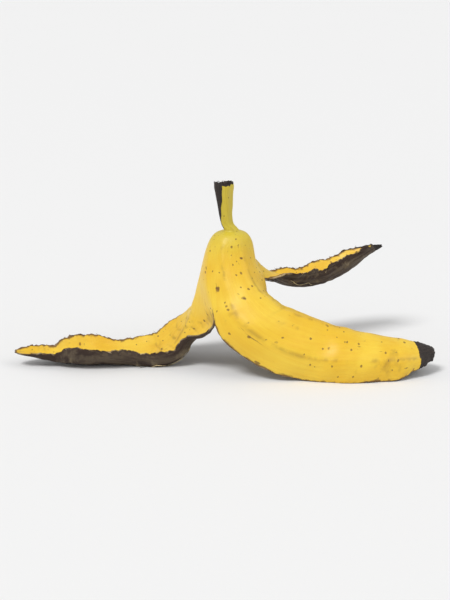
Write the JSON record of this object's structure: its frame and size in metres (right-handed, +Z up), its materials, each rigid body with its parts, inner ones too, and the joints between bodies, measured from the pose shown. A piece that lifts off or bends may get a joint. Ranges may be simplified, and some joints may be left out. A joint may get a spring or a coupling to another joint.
{
  "type": "banana peel",
  "caption": "Discarded peel of one banana, stem upwards, opened into flaps that are still joined under the stem and sprawl over the floor.",
  "frame": {"origin": "on the floor under the middle of the bounding box", "axes": "+Z up along the stem, +X from the flat-lying flap towards the arched front flap, +Y towards the raised rear flap"},
  "size_m": [0.253, 0.1162, 0.1124],
  "materials": {
    "skin": "satin, ripe yellow with brown freckles",
    "pith": "matt, cream browning towards the torn edges",
    "stem_cut": "matt, dark brown, fibrous",
    "dry_tip": "matt, nearly black, dried"
  },
  "bodies": {
    "root": {"banana_peel": "skin"}
  },
  "joints": []
}
